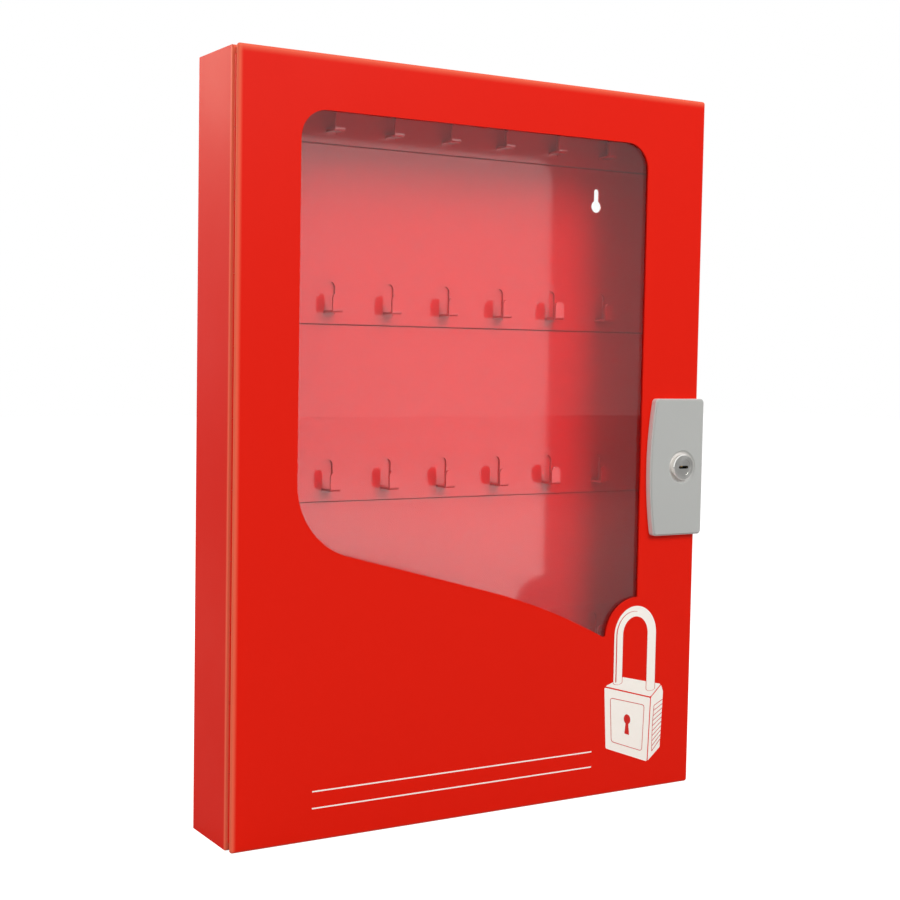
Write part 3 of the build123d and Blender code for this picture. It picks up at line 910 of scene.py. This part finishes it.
    def shade(self, surface: Surface) -> None:
        """Adds the shade line, which follows the shackle's left leg and bow and grows thin."""
        offset = np.array((-self.shade_offset * self.shackle_width, 0.0))
        line = self.path()[: self.shade_points] + offset
        width = np.linspace(*self.shade_widths, len(line))
        surface.grid(self.lay(Layer.MARK, ribbon(line, width)))

    def ribs(self, surface: Surface) -> None:
        """Adds the grip ribs between the side's two edges, their near ends bowed by a half sine."""
        side = np.array(self.side)
        share = np.linspace(*self.rib_span, self.rib_count)[:, None]
        bow = np.sin(math.pi * share) * np.array((-self.rib_bow, 0.0))
        near = side[0] + (side[1] - side[0]) * share + np.array(self.rib_near) + bow
        far = side[3] + (side[2] - side[3]) * share + np.array(self.rib_far)
        surface.grid(self.lay(Layer.MARK, ribbon(near, self.rib_line)))
        for ends in np.stack((near, far), axis=1):
            surface.grid(self.lay(Layer.OVER_MARK, ribbon(ends, self.line_width)))


@dataclass
class Screw:
    """A pan-head screw with a cross recess, turned about an axis along Y with its head at the back.

    Attributes:
        seat: Place of the head's underside.
        head_radius: Radius of the head.
        head_height: Height of the head.
        rim_share: Height of the rounded rim as a share of the head's.
        crown_height: Height of the crown over the rim.
        shank_radius: Radius of the shank.
        shank_length: Length of the shank.
        recess_width: Width of a slot of the recess.
        recess_reach: Radius that the recess reaches.
        recess_depth: Depth of the recess at the middle.
        recess_taper: Share of the depth that is lost at the reach.
        side_blend: Distance over which a slot's side falls.
        end_blend: Distance over which a slot's end falls.
        slack: How far under the crown's edge a point still counts as crown.
        rings: Points across the rim and across the crown.
        columns: Points round the axis.
    """

    seat: tuple[float, float, float]
    head_radius: float = 3.5
    head_height: float = 2.2
    rim_share: float = 0.45
    crown_height: float = 0.25
    shank_radius: float = 2.0
    shank_length: float = 4.4
    recess_width: float = 0.9
    recess_reach: float = 2.1
    recess_depth: float = 1.3
    recess_taper: float = 0.5
    side_blend: float = 0.05
    end_blend: float = 0.08
    slack: float = 0.01
    rings: tuple[int, int] = (8, 26)
    columns: int = 96

    def sheet(self) -> np.ndarray:
        """Works out the screw's surface.

        The head's rim is a quarter of an ellipse, and its crown falls with radius squared. The
        recess is cut where a point lies near one of the two crossing lines and inside the reach,
        each with a steep smooth edge.

        Returns:
            Grid of points, from the shank's tip to the middle of the head.
        """
        turn = np.linspace(0.0, 2 * math.pi, self.columns, endpoint=False)[None, :]
        quarter = np.linspace(0.0, math.pi / 2, self.rings[0])
        rim = self.rim_share * self.head_height
        crown = np.linspace(self.head_radius - rim, 0.0, self.rings[1])
        radius = np.concatenate(
            (
                (0.0, self.shank_radius, self.shank_radius),
                self.head_radius - rim + rim * np.cos(quarter),
                crown,
            )
        )[:, None]
        top = self.head_height - self.crown_height
        rise = np.concatenate(
            (
                (-self.shank_length, -self.shank_length, 0.0),
                top - rim + rim * np.sin(quarter),
                top + self.crown_height * (1 - (crown / crown[0]) ** 2),
            )
        )[:, None]
        x, z = radius * np.cos(turn), radius * np.sin(turn)
        across = np.minimum(np.abs(x), np.abs(z))
        near = 1 / (1 + np.exp((across - self.recess_width / 2) / self.side_blend))
        within = 1 / (1 + np.exp((radius - self.recess_reach) / self.end_blend))
        share = (1 - self.recess_taper * radius / self.recess_reach).clip(0.0, 1.0)
        cut = near * within * self.recess_depth * share
        height = rise - np.where(rise > top - self.slack, cut, 0.0)
        middle_x, middle_y, middle_z = self.seat
        return np.stack((middle_x + x, middle_y + height, middle_z + z), axis=-1)[::-1]


@dataclass
class Lock:
    """The lock plate, its screws and the cam lock.

    Attributes:
        cam_shank: Length of the cam screw's shank.
        ward_height: How far the ward stands into the keyway.
        ward_width: Width of the ward.
        ward_depth: Length of the ward.
        ward_place: Middle of the ward's front edge, from the middle of the plug's face: along X,
            inwards and up.
        ward_grid: Points along and across the ward.
    """

    cam_shank: float = 7.0
    ward_height: float = 0.75
    ward_width: float = 1.7
    ward_depth: float = 12.0
    ward_place: tuple[float, float, float] = (-1.4, 0.25, 1.0)
    ward_grid: tuple[int, int] = (8, 17)

    def make(self) -> None:
        """Dresses the lock's nodes and adds its screws and the ward in its keyway."""
        dress("lock_plate", GREY_COAT)
        for node in ("lock_housing", "lock_plug"):
            dress(node, POLISH)
        for node in ("lock_nut", "lock_cam", "cam_washer", "cam_screw"):
            dress(node, ZINC)
        self.screws()
        self.ward()

    def screws(self) -> None:
        """Replaces the plain screws by screws with a cross recess."""
        low, high = box_mm("plate_screws")
        pair = Surface()
        reach = Screw.head_radius
        for z in (low[2] + reach, high[2] - reach):
            seat = ((low[0] + high[0]) / 2, high[1] - Screw.head_height, z)
            pair.grid(Screw(seat).sheet(), closed=True)
        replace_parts(pair.build("recessed_plate_screws", ZINC, "door"), "plate_screws")
        low, high = box_mm("cam_screw")
        seat = ((low[0] + high[0]) / 2, high[1] - Screw.head_height, (low[2] + high[2]) / 2)
        single = Surface()
        single.grid(Screw(seat, shank_length=self.cam_shank).sheet(), closed=True)
        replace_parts(single.build("recessed_cam_screw", ZINC, "lock"), "cam_screw")

    def ward(self) -> None:
        """Adds the ward: a half wave across the keyway's upper side, carried straight inwards."""
        low, high = box_mm("lock_plug")
        x = (low[0] + high[0]) / 2 + self.ward_place[0]
        z = (low[2] + high[2]) / 2 + self.ward_place[2]
        across = np.linspace(-1.0, 1.0, self.ward_grid[1])
        down = self.ward_height * np.cos(across * math.pi / 2) ** 2
        inwards = np.linspace(0.0, self.ward_depth, self.ward_grid[0])
        y = low[1] + self.ward_place[1] + inwards
        sheet = np.stack(
            np.broadcast_arrays(
                x + across[None, :] * self.ward_width / 2, y[:, None], z - down[None, :]
            ),
            axis=-1,
        )
        face = np.stack((sheet[0] * (1, 1, 0) + (0, 0, z), sheet[0]))
        surface = Surface()
        surface.grid(sheet[::-1])
        surface.grid(face[::-1])
        surface.build("keyway_ward", BRASS, "lock")


@dataclass(frozen=True)
class Lamp:
    """A square soft lamp.

    Attributes:
        name: Name of the lamp.
        place: Where it hangs, in metres.
        target: The point that it faces.
        size: Length of its side.
        power: Power in watts.
        colour: Linear colour of its light.
    """

    name: str
    place: Sequence[float]
    target: Sequence[float]
    size: float
    power: float
    colour: Colour = (1.0, 1.0, 1.0)

    def hang(self) -> None:
        """Hangs the lamp, turned to its target."""
        light = bpy.data.lights.new(self.name, "AREA")
        light.size = self.size
        light.energy = self.power
        light.color = self.colour
        lamp = bpy.data.objects.new(self.name, light)
        lamp.location = self.place
        ahead = Vector(self.target) - Vector(self.place)
        lamp.rotation_euler = ahead.to_track_quat("-Z", "Y").to_euler()
        bpy.context.scene.collection.objects.link(lamp)


def worked_out(
    tree: bpy.types.NodeTree, operation: str, *values: bpy.types.NodeSocket | float
) -> bpy.types.NodeSocket:
    """Adds a math node to a tree.

    Args:
        tree: The tree.
        operation: Blender's name of the operation.
        values: What it works on, sockets or numbers.

    Returns:
        Socket with the result.
    """
    node = tree.nodes.new("ShaderNodeMath")
    node.operation = operation
    for socket, value in zip(node.inputs, values):
        if isinstance(value, bpy.types.NodeSocket):
            tree.links.new(value, socket)
        else:
            socket.default_value = value
    return node.outputs["Value"]


@dataclass
class Studio:
    """Floor, world, lamps and the camera.

    Attributes:
        camera_place: Where the camera stands, in metres.
        azimuth: Turn of the view from +Y, in degrees, positive towards -X.
        elevation: Tilt of the view above level, in degrees.
        roll: Turn of the camera about its view, in degrees.
        lens: Focal length in millimetres.
        sensor: Width of the camera's sensor in millimetres.
        world_light: Strength of the world where it lights.
        world_seen: Strength of the world where it is seen or mirrored.
        floor_size: Distance from the middle of the floor to its sides, in metres.
        floor_grey: Linear grey of the floor.
        floor_roughness: Roughness of the floor.
        floor_veil: White that the floor adds where it is seen.
        mirrored_veil: White that the floor adds where it is mirrored.
        lamps: The key lamp in front, the side lamp high behind the hinge side, and the edge lamp.
    """

    camera_place: tuple[float, float, float] = (-0.56059, -0.94393, 0.06339)
    azimuth: float = -31.106
    elevation: float = -3.499
    roll: float = 1.039
    lens: float = 62.08
    sensor: float = 36.0
    world_light: float = 0.41
    world_seen: float = 1.0
    floor_size: float = 6.0
    floor_grey: float = 0.50
    floor_roughness: float = 0.9
    floor_veil: float = 0.88
    mirrored_veil: float = 0.04
    lamps: Sequence[Lamp] = (
        Lamp("key_lamp", (0.45, -2.0, 1.40), (0.0, 0.0, 0.0), 1.1, 36.5),
        Lamp("side_lamp", (-1.0, 1.15, 0.80), (-0.18, 0.0, 0.20), 0.8, 17.5, (1.0, 0.90, 0.72)),
        Lamp("edge_lamp", (-1.9, -0.75, 0.85), (0.1, 0.0, 0.0), 0.9, 6.2),
    )

    def make(self) -> None:
        """Sets up everything round the object."""
        self.world()
        self.floor()
        for lamp in self.lamps:
            lamp.hang()
        self.camera()

    def world(self) -> None:
        """Makes the world: a plain light level, and white where it is seen or mirrored."""
        world = bpy.data.worlds.new("studio")
        bpy.context.scene.world = world
        world.use_nodes = True
        tree = world.node_tree
        nodes, links = tree.nodes, tree.links
        nodes.clear()
        ray = nodes.new("ShaderNodeLightPath").outputs
        shows = worked_out(tree, "MAXIMUM", ray["Is Camera Ray"], ray["Is Glossy Ray"])
        shows = worked_out(tree, "MAXIMUM", shows, ray["Is Transmission Ray"])
        pick = nodes.new("ShaderNodeMixShader")
        links.new(shows, pick.inputs["Fac"])
        for place, strength in enumerate((self.world_light, self.world_seen), start=1):
            background = nodes.new("ShaderNodeBackground")
            background.inputs["Color"].default_value = (1.0, 1.0, 1.0, 1.0)
            background.inputs["Strength"].default_value = strength
            links.new(background.outputs["Background"], pick.inputs[place])
        output = nodes.new("ShaderNodeOutputWorld")
        links.new(pick.outputs["Shader"], output.inputs["Surface"])

    def floor(self) -> None:
        """Lays a pale floor at the cabinet's lower edge."""
        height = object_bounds()[0][2]
        far = self.floor_size
        mesh = bpy.data.meshes.new("floor")
        corners = [(x, y, height) for x, y in ((-far, -far), (far, -far), (far, far), (-far, far))]
        mesh.from_pydata(corners, [], [(0, 1, 2, 3)])
        material = bpy.data.materials.new("floor_white")
        material.use_nodes = True
        tree = material.node_tree
        shader = tree.nodes["Principled BSDF"]
        shader.inputs["Base Color"].default_value = (*(self.floor_grey,) * 3, 1.0)
        shader.inputs["Roughness"].default_value = self.floor_roughness
        shader.inputs["Specular IOR Level"].default_value = 0.0
        shader.inputs["Emission Color"].default_value = (1.0, 1.0, 1.0, 1.0)
        ray = tree.nodes.new("ShaderNodeLightPath").outputs
        seen = worked_out(tree, "MAXIMUM", ray["Is Camera Ray"], ray["Is Transmission Ray"])
        veil = worked_out(tree, "MULTIPLY", seen, self.floor_veil)
        veil = worked_out(tree, "MULTIPLY_ADD", ray["Is Glossy Ray"], self.mirrored_veil, veil)
        tree.links.new(veil, shader.inputs["Emission Strength"])
        mesh.materials.append(material)
        floor = bpy.data.objects.new("floor", mesh)
        bpy.context.scene.collection.objects.link(floor)
        floor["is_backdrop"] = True

    def camera(self) -> None:
        """Places the camera by its turn, tilt and roll."""
        turn, tilt, roll = map(math.radians, (self.azimuth, self.elevation, self.roll))
        level = math.cos(tilt)
        ahead = Vector((-math.sin(turn) * level, math.cos(turn) * level, math.sin(tilt)))
        level_right = Vector((math.cos(turn), math.sin(turn), 0.0))
        level_up = level_right.cross(ahead)
        right = math.cos(roll) * level_right + math.sin(roll) * level_up
        up = -math.sin(roll) * level_right + math.cos(roll) * level_up
        data = bpy.data.cameras.new("photo_camera")
        data.lens = self.lens
        data.sensor_width = self.sensor
        camera = bpy.data.objects.new("photo_camera", data)
        turned = Matrix((right, up, -ahead)).transposed().to_4x4()
        camera.matrix_world = Matrix.Translation(Vector(self.camera_place)) @ turned
        bpy.context.scene.collection.objects.link(camera)
        bpy.context.scene.camera = camera
        bpy.context.scene.view_settings.view_transform = "Standard"


def main() -> None:
    """Builds the looks in order."""
    logging.basicConfig(level=logging.INFO, format="%(name)s %(message)s")
    for part in (Cabinet(), Door(), Lock(), Studio()):
        part.make()


if __name__ == "__main__":
    main()
